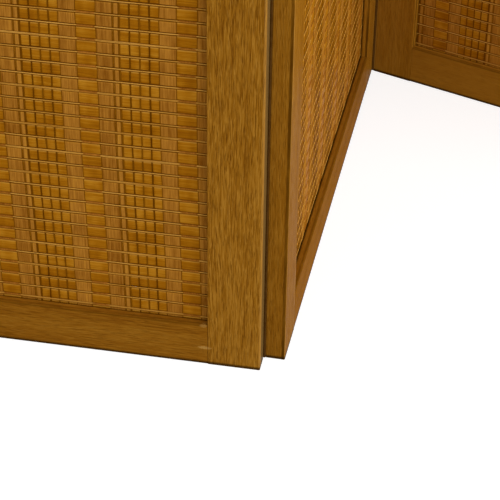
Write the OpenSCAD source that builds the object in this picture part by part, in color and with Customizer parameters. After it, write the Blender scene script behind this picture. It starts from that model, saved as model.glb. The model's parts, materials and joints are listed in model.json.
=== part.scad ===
// Folding screen of three framed panels with woven mats
// Millimetres, +Z up. The middle panel stands along X with its front towards -Y.
// The origin is the middle of the underside of the middle panel.

/* [Panels] */
// Height of every panel
panel_h = 1830; // [1200:10:2100]
// Width of every panel
panel_w = 510; // [380:5:700]
// Thickness of the frame timber
frame_t = 17; // [16:0.5:24]
// Angle between the left and the middle panel, measured behind them
left_angle = 91.4; // [5:0.1:180]
// Angle between the middle and the right panel, measured in front of them
right_angle = 70.95; // [5:0.05:180]
// Gap between two panels that are folded out flat
panel_gap = 1.4; // [1:0.1:3]

/* [Frame] */
// Width of the upright stiles
stile_w = 45; // [40:1:70]
// Height of the bottom rails
bottom_rail_h = 41.5; // [36:0.5:100]
// Height of the top rails
top_rail_h = 41.5; // [36:0.5:100]
// Radius of the eased long edges
arris_r = 1; // [0.4:0.1:2]
// Length of the rail tenons
tenon_l = 30; // [15:1:32]
// Thickness of the rail tenons
tenon_t = 6; // [4:0.5:8]
// Shoulder between a tenon and the outer edge of its rail
tenon_shoulder = 8; // [4:0.5:12]
// Play around tenons, hinge leaves and mat edges where they seat in the timber
seat_gap = 0.1; // [0.05:0.05:0.3]

/* [Mat] */
// Height of a flat horizontal slat
slat_h = 9.5; // [6:0.5:14]
// Thickness of a slat
slat_t = 0.9; // [0.6:0.1:1.5]
// Gap between two slats, where a reed lies
slat_gap = 2; // [1:0.1:4]
// Thickness of the round reeds
reed_d = 1.5; // [1:0.1:2.4]
// Thickness of the upright warps
warp_t = 0.3; // [0.2:0.05:0.5]
// How far the mat reaches into its groove
mat_hold = 8.3; // [5:0.1:12]
// Space left between the edge of the mat and the bottom of its groove
groove_play = 0.7; // [0.3:0.1:2]
// Narrowest offcut of a slat or warp that is kept at the edge of a mat
least_strip = 1; // [0.5:0.1:2]

/* [Warps] */
// Width of the warps that run behind the slats
back_warp_w = 14.5; // [8:0.5:25]
// Width of the front warp to the right of a back warp
front_warp_w = 13.2; // [6:0.1:20]
// Width of the front warp to the left of a back warp
side_warp_w = 14; // [6:0.1:20]
// Width of the narrow front warp beside the threads
narrow_warp_w = 4.4; // [2:0.1:6]
// Gap between two warps that lie side by side
warp_gap = 0.4; // [0.2:0.1:1]
// Width of a dark thread
thread_w = 1.2; // [0.6:0.1:2]
// Width of slat that shows between two threads
thread_cell = 6.5; // [4:0.1:12]
// Number of threads in one group
thread_count = 4; // [2:1:6]
// Start of the pattern from the left side of the opening, left mat
left_mat_start = 6.5; // [0:0.1:80]
// Start of the pattern from the left side of the opening, middle mat
middle_mat_start = 6.5; // [0:0.1:80]
// Start of the pattern from the right side of the opening, right mat
right_mat_start = 73.8; // [0:0.1:80]

/* [Hinges] */
// Distance from an end of a panel to the middle of its nearest hinge
hinge_inset = 400; // [150:5:500]
// Length of a hinge
hinge_l = 50; // [40:1:70]
// Width of a leaf from the pin's axis
leaf_w = 13; // [12:0.5:15]
// Thickness of a leaf
leaf_t = 1.2; // [1:0.1:1.6]
// Outer radius of the knuckles
knuckle_r = 2.4; // [2.2:0.1:3]
// Number of knuckles on a hinge, an odd number
knuckle_count = 5; // [3, 5, 7]
// Radius of the long pin of a joint
pin_r = 1.2; // [0.9:0.05:1.4]
// Radial play of the pin in its knuckles
pin_play = 0.05; // [0.03:0.01:0.1]
// Play between neighbouring knuckles, and around them in the stiles
knuckle_play = 0.2; // [0.1:0.05:0.4]
// How far the pin's axis stands out from the face of a panel
pin_out = 0.7; // [0.5:0.1:2]
// Height of the collar that hangs the long pin on its highest hinge
pin_collar_h = 1.6; // [1:0.1:2.5]
// Space left below and above the long pin
pin_end = 1; // [0.5:0.5:20]
// Number of screws in one leaf
screw_count = 3; // [2:1:4]
// Distance from the end of a leaf to its nearest screw
screw_inset = 8; // [6:0.5:12]
// Distance from the pin's axis to the row of screws
screw_out = 8; // [7:0.5:9]
// Length of a screw
screw_l = 14; // [8:1:20]
// Radius of the shank of a screw
screw_r = 1.25; // [1:0.05:1.5]
// Radius of the countersunk head of a screw
screw_head_r = 2.35; // [2:0.05:2.6]
// Radial play of a screw in its hole
screw_play = 0.05; // [0.02:0.01:0.1]
// Width of the slot in a screw head
slot_w = 0.6; // [0.4:0.1:0.8]
// Depth of the slot in a screw head
slot_d = 0.5; // [0.3:0.1:0.7]

/* [Hidden] */

// Overshoot of a cut past the surface that it opens
cut = 1;
// Segments of the round hinge parts, of the reeds, and of the small rounded edges
round_fn = 48;
reed_fn = 16;
arc_fn = 32;

stile_color = [0.55, 0.35, 0.12];
rail_color = [0.53, 0.33, 0.10];
slat_color = [0.61, 0.39, 0.08];
reed_color = [0.71, 0.49, 0.24];
front_warp_color = [0.57, 0.36, 0.12];
back_warp_color = [0.60, 0.34, 0.14];
thread_color = [0.38, 0.23, 0.04];
brass_color = [0.62, 0.50, 0.26];
pin_color = [0.26, 0.19, 0.12];

// The opening of a frame, and the mat that fills it
opening_w = panel_w - 2 * stile_w;
groove_d = mat_hold + groove_play;
mat_x0 = stile_w - mat_hold;
mat_x1 = panel_w - stile_w + mat_hold;
mat_z0 = bottom_rail_h - mat_hold;
mat_z1 = panel_h - top_rail_h + mat_hold;

// Depths in the mat, counted backwards from the middle of the frame
mat_t = reed_d + slat_t + 2 * warp_t;
groove_w = mat_t + 2 * seat_gap;
reed_y = -mat_t / 2 + reed_d / 2;
front_warp_y = reed_y + reed_d / 2;
slat_y = front_warp_y + warp_t;
back_warp_y = slat_y + slat_t;

// Rows of slats with one reed above each slat but the last
row_pitch = slat_h + slat_gap;
row_count = ceil((mat_z1 - mat_z0 - least_strip) / row_pitch);

// One repeat of the pattern of warps, counted from the left side of a back warp
front_warp_x = back_warp_w + warp_gap;
narrow_warp_x = front_warp_x + front_warp_w + warp_gap;
thread_x = narrow_warp_x + narrow_warp_w;
thread_pitch = thread_w + thread_cell;
side_warp_x = thread_x + thread_count * thread_pitch;
column_pitch = side_warp_x + side_warp_w + warp_gap;
column_count = ceil(opening_w / column_pitch);

// Pins of the two rows of hinges: the left one is behind the panels and the right one is before them
left_pin = [-panel_w / 2 - panel_gap / 2, frame_t / 2 + pin_out, 0];
right_pin = -left_pin;
hinge_heights = [hinge_inset, panel_h / 2, panel_h - hinge_inset];
knuckle_h = hinge_l / knuckle_count;
bore_r = pin_r + pin_play;
screw_head_h = screw_head_r - screw_r;

function row_z(i) = mat_z0 + i * row_pitch;
function reed_z(i) = row_z(i) + slat_h + slat_gap / 2;
function hinge_z(i) = hinge_heights[i] - hinge_l / 2;
function screw_z(i) = screw_inset + i * (hinge_l - 2 * screw_inset) / (screw_count - 1);

// Side of a strip at x in the mat, kept inside the mat's edges
function kept_x(x) = min(max(x, mat_x0), mat_x1);

// Rectangle with rounded corners, centred on the origin
module rounded_section(w, t) {
    square([w - 2 * arris_r, t], center = true);
    square([w, t - 2 * arris_r], center = true);
    for (x = [-1, 1])
        for (y = [-1, 1])
            translate([x * (w / 2 - arris_r), y * (t / 2 - arris_r)])
                circle(r = arris_r, $fn = arc_fn);
}

// Upright bar of the frame, its outer edge at x = 0 and its inner edge at x = stile_w
module stile_blank() {
    groove_z = bottom_rail_h - groove_d;
    groove_h = panel_h - bottom_rail_h - top_rail_h + 2 * groove_d;
    difference() {
        translate([stile_w / 2, 0, 0])
            linear_extrude(panel_h)
                rounded_section(stile_w, frame_t);
        translate([stile_w - groove_d, -groove_w / 2, groove_z])
            cube([groove_d + cut, groove_w, groove_h]);
        mortise(tenon_shoulder, bottom_rail_h - groove_d);
        mortise(panel_h - top_rail_h + groove_d, panel_h - tenon_shoulder);
    }
}

// Pocket in the inner edge of a stile for a tenon that reaches from z0 to z1
module mortise(z0, z1) {
    translate([stile_w - tenon_l - seat_gap, -tenon_t / 2 - seat_gap, z0 - seat_gap])
        cube([tenon_l + seat_gap + cut, tenon_t + 2 * seat_gap, z1 - z0 + 2 * seat_gap]);
}

// Cross bar with a tenon at each end, its outer edge at z = 0 and its grooved edge at z = h
module rail(h) {
    color(rail_color)
        difference() {
            union() {
                translate([stile_w, 0, h / 2])
                    rotate([90, 0, 90])
                        linear_extrude(opening_w)
                            rounded_section(frame_t, h);
                translate([stile_w - tenon_l, -tenon_t / 2, tenon_shoulder])
                    cube([opening_w + 2 * tenon_l, tenon_t, h - groove_d - tenon_shoulder]);
            }
            translate([stile_w - cut, -groove_w / 2, h - groove_d])
                cube([opening_w + 2 * cut, groove_w, groove_d + cut]);
        }
}

module bottom_rail() {
    rail(bottom_rail_h);
}

module top_rail() {
    translate([0, 0, panel_h])
        mirror([0, 0, 1])
            rail(top_rail_h);
}

// Stile without hinges, at the free edge of an outer panel
module plain_stile() {
    color(stile_color)
        stile_blank();
}

// Stile with its hinges let into the outer edge, and the long pin beyond its back
module hinged_stile() {
    color(stile_color)
        difference() {
            stile_blank();
            translate([-panel_gap / 2, frame_t / 2 + pin_out, 0]) {
                for (i = [0 : len(hinge_heights) - 1])
                    translate([0, 0, hinge_z(i)])
                        hinge_recess();
                // A groove for the long pin, where the eased edge alone leaves it too little room
                translate([0, 0, -cut])
                    cylinder(r = bore_r, h = panel_h + 2 * cut, $fn = round_fn);
            }
        }
}

// Room for the knuckles, the leaf and the screws of one hinge, on the +X side of its pin
module hinge_recess() {
    translate([0, 0, -knuckle_play])
        cylinder(r = knuckle_r + knuckle_play, h = hinge_l + pin_collar_h + 2 * knuckle_play, $fn = round_fn);
    translate([0, -leaf_w - seat_gap, -seat_gap])
        cube([panel_gap / 2 + leaf_t + seat_gap, leaf_w + seat_gap + cut, hinge_l + 2 * seat_gap]);
    at_screws()
        screw_shape(screw_play);
}

// Places a screw at each hole of the leaf on the +X side of the pin
module at_screws() {
    for (i = [0 : screw_count - 1])
        translate([panel_gap / 2, -screw_out, screw_z(i)])
            rotate([0, 90, 0])
                children();
}

// Countersunk screw with its head at z = 0 and its point up, grown by play
module screw_shape(play) {
    shank_l = screw_l - 2 * screw_r;
    cylinder(r1 = screw_head_r + play, r2 = screw_r + play, h = screw_head_h, $fn = round_fn);
    cylinder(r = screw_r + play, h = shank_l, $fn = round_fn);
    translate([0, 0, shank_l])
        cylinder(r1 = screw_r + play, r2 = 0, h = screw_l + play - shank_l, $fn = round_fn);
}

module screw() {
    color(brass_color)
        difference() {
            screw_shape(0);
            translate([-slot_w / 2, -screw_head_r, -cut])
                cube([slot_w, 2 * screw_head_r, cut + slot_d]);
        }
}

// One of the knuckles of a hinge, counted from below
module knuckle(i) {
    translate([0, 0, i * knuckle_h + knuckle_play / 2])
        cylinder(r = knuckle_r, h = knuckle_h - knuckle_play, $fn = round_fn);
}

// Half of a hinge on the +X side of its pin, with every second knuckle from the one numbered first
module leaf(first) {
    last = knuckle_count - 1;
    color(brass_color)
        difference() {
            union() {
                translate([panel_gap / 2, -leaf_w, 0])
                    cube([leaf_t, leaf_w, hinge_l]);
                for (i = [first : 2 : last])
                    knuckle(i);
            }
            for (i = [1 - first : 2 : last])
                translate([0, 0, i * knuckle_h - knuckle_play / 2])
                    cylinder(r = knuckle_r + knuckle_play, h = knuckle_h + knuckle_play, $fn = round_fn);
            translate([0, 0, -cut])
                cylinder(r = bore_r, h = hinge_l + 2 * cut, $fn = round_fn);
            at_screws()
                screw_shape(screw_play);
        }
}

// Long pin through all hinges of a joint, with its collar on the highest of them
module hinge_pin() {
    collar_z = hinge_z(len(hinge_heights) - 1) + hinge_l;
    color(pin_color)
        rotate_extrude($fn = round_fn)
            union() {
                translate([0, pin_end])
                    square([pin_r, panel_h - 2 * pin_end]);
                translate([0, collar_z])
                    square([knuckle_r - pin_collar_h / 2, pin_collar_h]);
                translate([knuckle_r - pin_collar_h / 2, collar_z + pin_collar_h / 2])
                    circle(r = pin_collar_h / 2, $fn = arc_fn);
            }
}

// Places its children at the pin of a hinge of the left row, on the side of the middle panel
module at_left_hinge(i) {
    translate(left_pin + [0, 0, hinge_z(i)])
        children();
}

module at_right_hinge(i) {
    translate(right_pin + [0, 0, hinge_z(i)])
        rotate([0, 0, 180])
            children();
}

// Turns its children about a pin by the fold of an outer panel
module folded(pin, angle) {
    translate(pin)
        rotate([0, 0, angle - 180])
            translate(-pin)
                children();
}

// Each panel starts at x = 0 with its front at -frame_t / 2
module at_left_panel() {
    folded(left_pin, left_angle)
        translate([-panel_w * 3 / 2 - panel_gap, 0, 0])
            children();
}

module at_middle_panel() {
    translate([-panel_w / 2, 0, 0])
        children();
}

module at_right_panel() {
    folded(right_pin, right_angle)
        translate([panel_w / 2 + panel_gap, 0, 0])
            children();
}

// Turns a left stile into the right stile of the same panel, its back to the front
module turned_about() {
    translate([panel_w, 0, 0])
        rotate([0, 0, 180])
            children();
}

// Turns a left stile into the right stile of the same panel, its back still behind
module mirrored() {
    translate([panel_w, 0, 0])
        mirror([1, 0, 0])
            children();
}

// Brings the hinges of a left stile from its back to its front
module front_hinged() {
    mirror([0, 1, 0])
        children();
}

module mat_slats() {
    color(slat_color)
        for (i = [0 : row_count - 1])
            translate([mat_x0, slat_y, row_z(i)])
                cube([mat_x1 - mat_x0, slat_t, min(slat_h, mat_z1 - row_z(i))]);
}

module mat_reeds() {
    color(reed_color)
        for (i = [0 : row_count - 2])
            translate([mat_x0, reed_y, reed_z(i)])
                rotate([0, 90, 0])
                    cylinder(r = reed_d / 2, h = mat_x1 - mat_x0, $fn = reed_fn);
}

// Upright warps from x to x + w in every repeat of the pattern, y deep in the mat and kept inside its edges
module warps(start, x, w, y) {
    for (k = [-1 : column_count]) {
        x0 = kept_x(stile_w + start + k * column_pitch + x);
        x1 = kept_x(stile_w + start + k * column_pitch + x + w);
        if (x1 - x0 >= least_strip)
            translate([x0, y, mat_z0])
                cube([x1 - x0, warp_t, mat_z1 - mat_z0]);
    }
}

// Warps that lie before the slats and behind the reeds
module mat_front_warps(start) {
    color(front_warp_color) {
        warps(start, front_warp_x, front_warp_w, front_warp_y);
        warps(start, narrow_warp_x, narrow_warp_w, front_warp_y);
        warps(start, side_warp_x, side_warp_w, front_warp_y);
    }
}

module mat_threads(start) {
    color(thread_color)
        for (i = [0 : thread_count - 1])
            warps(start, thread_x + i * thread_pitch, thread_w, front_warp_y);
}

// Warps that lie behind the slats
module mat_back_warps(start) {
    color(back_warp_color)
        warps(start, 0, back_warp_w, back_warp_y);
}

// The leaf of the middle panel, which holds the pin
module inner_leaf() {
    leaf(0);
}

// The leaf of an outer panel, on the other side of the pin
module outer_leaf() {
    across()
        leaf(1);
}

module across() {
    mirror([1, 0, 0])
        children();
}

// Places its children at a hinge of the left row, on the side of the left panel
module at_left_fold(i) {
    folded(left_pin, left_angle)
        at_left_hinge(i)
            children();
}

module at_right_fold(i) {
    folded(right_pin, right_angle)
        at_right_hinge(i)
            children();
}

module left_panel_screws() {
    for (i = [0 : len(hinge_heights) - 1])
        at_left_fold(i)
            across()
                at_screws()
                    screw();
}

module middle_panel_screws() {
    for (i = [0 : len(hinge_heights) - 1]) {
        at_left_hinge(i)
            at_screws()
                screw();
        at_right_hinge(i)
            at_screws()
                screw();
    }
}

module right_panel_screws() {
    for (i = [0 : len(hinge_heights) - 1])
        at_right_fold(i)
            across()
                at_screws()
                    screw();
}

at_left_panel() plain_stile();  // left_panel_left_stile
at_left_panel() mirrored() hinged_stile();  // left_panel_right_stile
at_left_panel() bottom_rail();  // left_panel_bottom_rail
at_left_panel() top_rail();  // left_panel_top_rail
at_left_panel() mat_slats();  // left_mat_slats
at_left_panel() mat_reeds();  // left_mat_reeds
at_left_panel() mat_front_warps(left_mat_start);  // left_mat_front_warps
at_left_panel() mat_threads(left_mat_start);  // left_mat_threads
at_left_panel() mat_back_warps(left_mat_start);  // left_mat_back_warps

at_middle_panel() hinged_stile();  // middle_panel_left_stile
at_middle_panel() turned_about() hinged_stile();  // middle_panel_right_stile
at_middle_panel() bottom_rail();  // middle_panel_bottom_rail
at_middle_panel() top_rail();  // middle_panel_top_rail
at_middle_panel() mat_slats();  // middle_mat_slats
at_middle_panel() mat_reeds();  // middle_mat_reeds
at_middle_panel() mat_front_warps(middle_mat_start);  // middle_mat_front_warps
at_middle_panel() mat_threads(middle_mat_start);  // middle_mat_threads
at_middle_panel() mat_back_warps(middle_mat_start);  // middle_mat_back_warps

at_right_panel() front_hinged() hinged_stile();  // right_panel_left_stile
at_right_panel() mirrored() plain_stile();  // right_panel_right_stile
at_right_panel() bottom_rail();  // right_panel_bottom_rail
at_right_panel() top_rail();  // right_panel_top_rail
at_right_panel() mat_slats();  // right_mat_slats
at_right_panel() mat_reeds();  // right_mat_reeds
at_right_panel() mirrored() mat_front_warps(right_mat_start);  // right_mat_front_warps
at_right_panel() mirrored() mat_threads(right_mat_start);  // right_mat_threads
at_right_panel() mirrored() mat_back_warps(right_mat_start);  // right_mat_back_warps

at_left_fold(0) outer_leaf();  // left_low_hinge_outer_leaf
at_left_hinge(0) inner_leaf();  // left_low_hinge_inner_leaf
at_left_fold(1) outer_leaf();  // left_mid_hinge_outer_leaf
at_left_hinge(1) inner_leaf();  // left_mid_hinge_inner_leaf
at_left_fold(2) outer_leaf();  // left_high_hinge_outer_leaf
at_left_hinge(2) inner_leaf();  // left_high_hinge_inner_leaf
translate(left_pin) hinge_pin();  // left_hinge_pin

at_right_fold(0) outer_leaf();  // right_low_hinge_outer_leaf
at_right_hinge(0) inner_leaf();  // right_low_hinge_inner_leaf
at_right_fold(1) outer_leaf();  // right_mid_hinge_outer_leaf
at_right_hinge(1) inner_leaf();  // right_mid_hinge_inner_leaf
at_right_fold(2) outer_leaf();  // right_high_hinge_outer_leaf
at_right_hinge(2) inner_leaf();  // right_high_hinge_inner_leaf
translate(right_pin) hinge_pin();  // right_hinge_pin

left_panel_screws();  // left_panel_hinge_screws
middle_panel_screws();  // middle_panel_hinge_screws
right_panel_screws();  // right_panel_hinge_screws
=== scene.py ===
"""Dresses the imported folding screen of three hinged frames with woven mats.

The timber gets an open-pored varnished grain, each mat is woven anew from slats, reeds, warps and
threads that pass over and under each other, and the hinges become aged brass. A plain studio with
a white floor and soft lamps shows the screen from the photograph's viewing angle.
"""

import json
import logging
import math
from dataclasses import dataclass, field, replace
from enum import Enum
from functools import cache

import bpy
import numpy as np
from mathutils import Matrix, Vector


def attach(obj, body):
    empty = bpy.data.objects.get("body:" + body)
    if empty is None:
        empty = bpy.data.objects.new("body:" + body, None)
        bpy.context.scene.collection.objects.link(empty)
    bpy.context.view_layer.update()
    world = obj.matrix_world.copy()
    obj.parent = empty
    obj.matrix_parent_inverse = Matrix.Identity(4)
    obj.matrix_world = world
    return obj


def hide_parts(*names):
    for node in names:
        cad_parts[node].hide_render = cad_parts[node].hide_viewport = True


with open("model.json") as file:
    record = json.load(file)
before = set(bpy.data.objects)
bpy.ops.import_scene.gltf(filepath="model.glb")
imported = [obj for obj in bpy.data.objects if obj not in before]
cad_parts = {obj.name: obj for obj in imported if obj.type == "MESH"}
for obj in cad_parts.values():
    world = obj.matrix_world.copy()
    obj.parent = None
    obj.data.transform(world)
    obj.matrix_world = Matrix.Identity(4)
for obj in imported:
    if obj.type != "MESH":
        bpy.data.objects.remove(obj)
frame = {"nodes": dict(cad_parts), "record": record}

LOG = logging.getLogger("folding_screen")
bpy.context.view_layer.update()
MM = 0.001

Colour = tuple[float, float, float, float]
Pair = tuple[float, float]
Triple = tuple[float, float, float]
Socket = bpy.types.NodeSocket
Outputs = bpy.types.NodeOutputs
Tree = bpy.types.NodeTree
Material = bpy.types.Material
Thing = bpy.types.Object
WHITE: Colour = (1.0, 1.0, 1.0, 1.0)


def srgb(red: int, green: int, blue: int) -> Colour:
    """Turns a colour as a screen shows it into linear light.

    Args:
        red: Red from 0 to 255.
        green: Green from 0 to 255.
        blue: Blue from 0 to 255.

    Returns:
        The linear colour with full alpha.
    """
    shares = (channel / 255 for channel in (red, green, blue))
    linear = (s / 12.92 if s <= 0.04045 else ((s + 0.055) / 1.055) ** 2.4 for s in shares)
    return (*linear, 1.0)


def placed(name: str, data: bpy.types.ID) -> Thing:
    """Makes an object and puts it into the scene.

    Args:
        name: The object's name.
        data: The mesh, the lamp or the camera that it shows.

    Returns:
        The object.
    """
    thing = bpy.data.objects.new(name, data)
    bpy.context.scene.collection.objects.link(thing)
    return thing


# The panels


class Side(Enum):
    """Which of the three panels, as seen from the front."""

    LEFT = "left"
    MIDDLE = "middle"
    RIGHT = "right"


@dataclass(frozen=True)
class PanelSizes:
    """Sizes that all panels share, in metres, the same as in the CAD source."""

    width: float = 510 * MM
    height: float = 1830 * MM
    timber: float = 17 * MM
    stile: float = 45 * MM
    rail: float = 41.5 * MM
    gap: float = 1.4 * MM
    pin_out: float = 0.7 * MM

    @property
    def pin_x(self) -> float:
        """Distance of a pin from the middle of the middle panel."""
        return (self.width + self.gap) / 2

    @property
    def pin_y(self) -> float:
        """Distance of a pin from the middle of a panel's thickness."""
        return self.timber / 2 + self.pin_out


@dataclass(frozen=True)
class Scuff:
    """A pale scuff in the varnish of a panel's front, in panel coordinates."""

    x: float
    z: float
    half_width: float
    half_height: float
    strength: float


@dataclass(frozen=True)
class Panel:
    """One panel: where it stands, how its mat is set out, and how its timber and its mat are toned."""

    side: Side
    mat_start: float
    mat_mirrored: bool
    seed: int
    figure: float = 1.0
    # shade, rail_shade and mat_shade shift the tone of the stiles, rails and mat: partly the panel's own tone, partly
    # painted light for how much light the panel gets
    shade: float = 0.0
    rail_shade: float = 0.0
    mat_shade: float = 0.0
    greyed_side: float = 0.0
    scuffs: tuple[Scuff, ...] = ()
    sizes: PanelSizes = PanelSizes()
    left_angle: float = 91.4
    right_angle: float = 70.95

    @property
    def body(self) -> str:
        """Name of the CAD body that the panel is."""
        return f"{self.side.value}_panel"

    def place(self) -> Matrix:
        """Works out where the panel stands.

        Returns:
            The matrix from panel coordinates, x from the left edge, y from the middle of the timber
            and z from the floor, to the frame.
        """
        s = self.sizes
        if self.side is Side.MIDDLE:
            return Matrix.Translation((-s.width / 2, 0, 0))
        if self.side is Side.LEFT:
            pin, angle, start = Vector((-s.pin_x, s.pin_y, 0)), self.left_angle, -1.5 * s.width - s.gap
        else:
            pin, angle, start = Vector((s.pin_x, -s.pin_y, 0)), self.right_angle, s.width / 2 + s.gap
        turn = Matrix.Rotation(math.radians(angle - 180), 4, "Z")
        return Matrix.Translation(pin) @ turn @ Matrix.Translation(Vector((start, 0, 0)) - pin)


# Node trees


class Graph:
    """A node tree under construction, for materials, shader groups and Geometry Nodes alike."""

    def __init__(self, tree: Tree) -> None:
        """Starts on a tree."""
        self.tree = tree

    def add(self, kind: str, inputs: dict[str | int, object] | None = None, **settings: object) -> bpy.types.Node:
        """Adds a node.

        Args:
            kind: Blender's name of the node type.
            inputs: Values or sockets for its inputs, by name or index.
            **settings: Its other properties.

        Returns:
            The new node.
        """
        node = self.tree.nodes.new(kind)
        for name, value in settings.items():
            setattr(node, name, value)
        for key, value in (inputs or {}).items():
            self.feed(node.inputs[key], value)
        return node

    def feed(self, socket: Socket, value: object) -> None:
        """Links a socket to another one, or gives it a value.

        Args:
            socket: The input to fill.
            value: The output to link, or the value to store.
        """
        if isinstance(value, bpy.types.NodeSocket):
            self.tree.links.new(value, socket)
        else:
            socket.default_value = value

    def math(self, operation: str, *values: object, clamp: bool = False) -> Socket:
        """Adds a Math node on numbers or sockets, and with clamp keeps its result from 0 to 1."""
        node = self.add("ShaderNodeMath", dict(enumerate(values)), operation=operation, use_clamp=clamp)
        return node.outputs[0]

    def plus(self, *values: object, clamp: bool = False) -> Socket:
        """Adds numbers or sockets.

        Args:
            *values: Two of them or more, added from left to right.
            clamp: Whether the whole sum is kept from 0 to 1.

        Returns:
            The sum.
        """
        total = values[0]
        for count, value in enumerate(values[1:], 2):
            total = self.math("ADD", total, value, clamp=clamp and count == len(values))
        return total

    def minus(self, first: object, second: object) -> Socket:
        """Takes the second number or socket from the first."""
        return self.math("SUBTRACT", first, second)

    def times(self, *values: object) -> Socket:
        """Multiplies numbers or sockets.

        Args:
            *values: Two of them or more, or one alone, which stays as it is.

        Returns:
            The product.
        """
        total = values[0]
        for value in values[1:]:
            total = self.math("MULTIPLY", total, value)
        return total

    def over(self, first: object, second: object, clamp: bool = False) -> Socket:
        """Divides the first number or socket by the second."""
        return self.math("DIVIDE", first, second, clamp=clamp)

    def spread(self, noise: Socket, share: object) -> Socket:
        """Centres noise on 0 and scales it."""
        return self.times(self.minus(noise, 0.5), share)

    def vector(self, x: object = 0.0, y: object = 0.0, z: object = 0.0) -> Socket:
        """Joins three numbers or sockets to a vector."""
        return self.add("ShaderNodeCombineXYZ", {0: x, 1: y, 2: z}).outputs[0]

    def parts(self, vector: Socket) -> Outputs:
        """Splits a vector into x, y and z."""
        return self.add("ShaderNodeSeparateXYZ", {0: vector}).outputs

    def scaled(self, vector: Socket, by: Triple) -> Socket:
        """Scales a vector by a different factor on each axis."""
        return self.add("ShaderNodeVectorMath", {0: vector, 1: by}, operation="MULTIPLY").outputs[0]

    def shifted(self, vector: Socket, by: object) -> Socket:
        """Adds a vector to a vector."""
        return self.add("ShaderNodeVectorMath", {0: vector, 1: by}, operation="ADD").outputs[0]

    def noise(self, vector: Socket, detail: float = 2.0, roughness: float = 0.5, distortion: float = 0.0) -> Socket:
        """Adds smooth noise of about one cell per unit.

        Args:
            vector: Where to read the noise, already scaled.
            detail: Number of finer layers.
            roughness: Strength of the finer layers.
            distortion: How far the noise is stirred.

        Returns:
            The noise, mostly from 0.2 to 0.8.
        """
        inputs = {"Vector": vector, "Scale": 1.0, "Detail": detail, "Roughness": roughness, "Distortion": distortion}
        return self.add("ShaderNodeTexNoise", inputs).outputs["Fac"]

    def remap(self, value: Socket, low: object, high: object, to_low: object = 0.0, to_high: object = 1.0,
              smooth: bool = True) -> Socket:
        """Maps a range of a value onto another range and stops at its ends.

        Args:
            value: The value.
            low: Start of the range.
            high: End of the range.
            to_low: What the start becomes.
            to_high: What the end becomes.
            smooth: Whether the change eases in and out.

        Returns:
            The mapped value.
        """
        kind = "SMOOTHSTEP" if smooth else "LINEAR"
        inputs = {0: value, 1: low, 2: high, 3: to_low, 4: to_high}
        return self.add("ShaderNodeMapRange", inputs, interpolation_type=kind).outputs[0]

    def fade(self, value: Socket, ends: tuple[object, object], start: object = 1.0) -> Socket:
        """Eases from a start down to 0 between two ends of a value."""
        return self.remap(value, *ends, start, 0.0)

    def mix(self, share: object, first: object, second: object) -> Socket:
        """Mixes two colours by the share of the second one."""
        return self.add("ShaderNodeMix", {0: share, 6: first, 7: second}, data_type="RGBA").outputs[2]

    def ramp(self, share: Socket, stops: tuple[float, ...], colours: tuple[Colour, ...]) -> Socket:
        """Adds a colour ramp.

        Args:
            share: Where to read it.
            stops: Places from 0 to 1, in order.
            colours: The colour at each place.

        Returns:
            The colour.
        """
        node = self.add("ShaderNodeValToRGB", {0: share})
        row = node.color_ramp.elements
        while len(row) < len(stops):
            row.new(1.0)
        for element, place, colour in zip(row, stops, colours):
            element.position, element.color = place, colour
        return node.outputs[0]


class SocketKind(Enum):
    """Types of a group's sockets."""

    GEOMETRY = "NodeSocketGeometry"
    FLOAT = "NodeSocketFloat"
    INT = "NodeSocketInt"
    VECTOR = "NodeSocketVector"
    MATERIAL = "NodeSocketMaterial"


class Group(Graph):
    """A node group with named inputs and outputs."""

    def __init__(self, name: str, kind: str, inputs: dict[str, SocketKind], outputs: dict[str, SocketKind]) -> None:
        """Makes the group and its sockets.

        Args:
            name: Name of the group.
            kind: Blender's name of the tree type.
            inputs: Names and types of the inputs.
            outputs: Names and types of the outputs.
        """
        super().__init__(bpy.data.node_groups.new(name, kind))
        for in_out, sockets in (("INPUT", inputs), ("OUTPUT", outputs)):
            for socket, socket_kind in sockets.items():
                self.tree.interface.new_socket(socket, in_out=in_out, socket_type=socket_kind.value)
        self.given = self.tree.nodes.new("NodeGroupInput").outputs
        self.result = self.tree.nodes.new("NodeGroupOutput").inputs

    def __getitem__(self, name: str) -> Socket:
        """Gives the group's input of that name."""
        return self.given[name]

    def give(self, **results: Socket) -> Tree:
        """Links the results to the outputs and ends the group.

        Args:
            **results: What goes to the output of each name.

        Returns:
            The finished tree.
        """
        for name, value in results.items():
            self.feed(self.result[name], value)
        return self.tree


class ShaderGroup(Group):
    """A shader group that turns numbers, and a place named Vector, into masks and values."""

    def __init__(self, name: str, inputs: tuple[str, ...], outputs: tuple[str, ...]) -> None:
        """Makes the group.

        Args:
            name: Name of the group.
            inputs: Names of its inputs.
            outputs: Names of its outputs.
        """
        kinds = {given: SocketKind.VECTOR if given == "Vector" else SocketKind.FLOAT for given in inputs}
        super().__init__(name, "ShaderNodeTree", kinds, dict.fromkeys(outputs, SocketKind.FLOAT))


# Shader groups, each made once at its first use

# Cells of each noise in a metre, on each axis of the piece
SWAY_CELLS, STREAK_CELLS, LINE_CELLS = (24, 24, 9), (70, 70, 2.2), (1450, 1450, 52)
PORE_CELLS, FLECK_CELLS, CLOUD_CELLS = (1600, 1600, 110), (1450, 1450, 110), (160, 160, 45)
FIBRE_ALONG, FIBRE_DEEP = 40.0, 900.0
# Where pores and flecks begin in their noise and where they are full, and how far the flecks are from the pores
PORE_NOISE, FLECK_NOISE, FLECK_SHIFT = (0.56, 0.70), (0.57, 0.72), (31.0, 7.0, 13.0)
# Where the masks of a bar's edges begin and end, the first two as shares of the band, the others in metres
NEAR_BAND, WIDE_BAND = (0.3, 0.6), (0.75, 1.15)
FACE_TURN, DARK_TURN, SIDE_TURN = (-0.3 * MM, 0.1 * MM), (-0.4 * MM, 0.0), (-0.5 * MM, 0.0)
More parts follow.
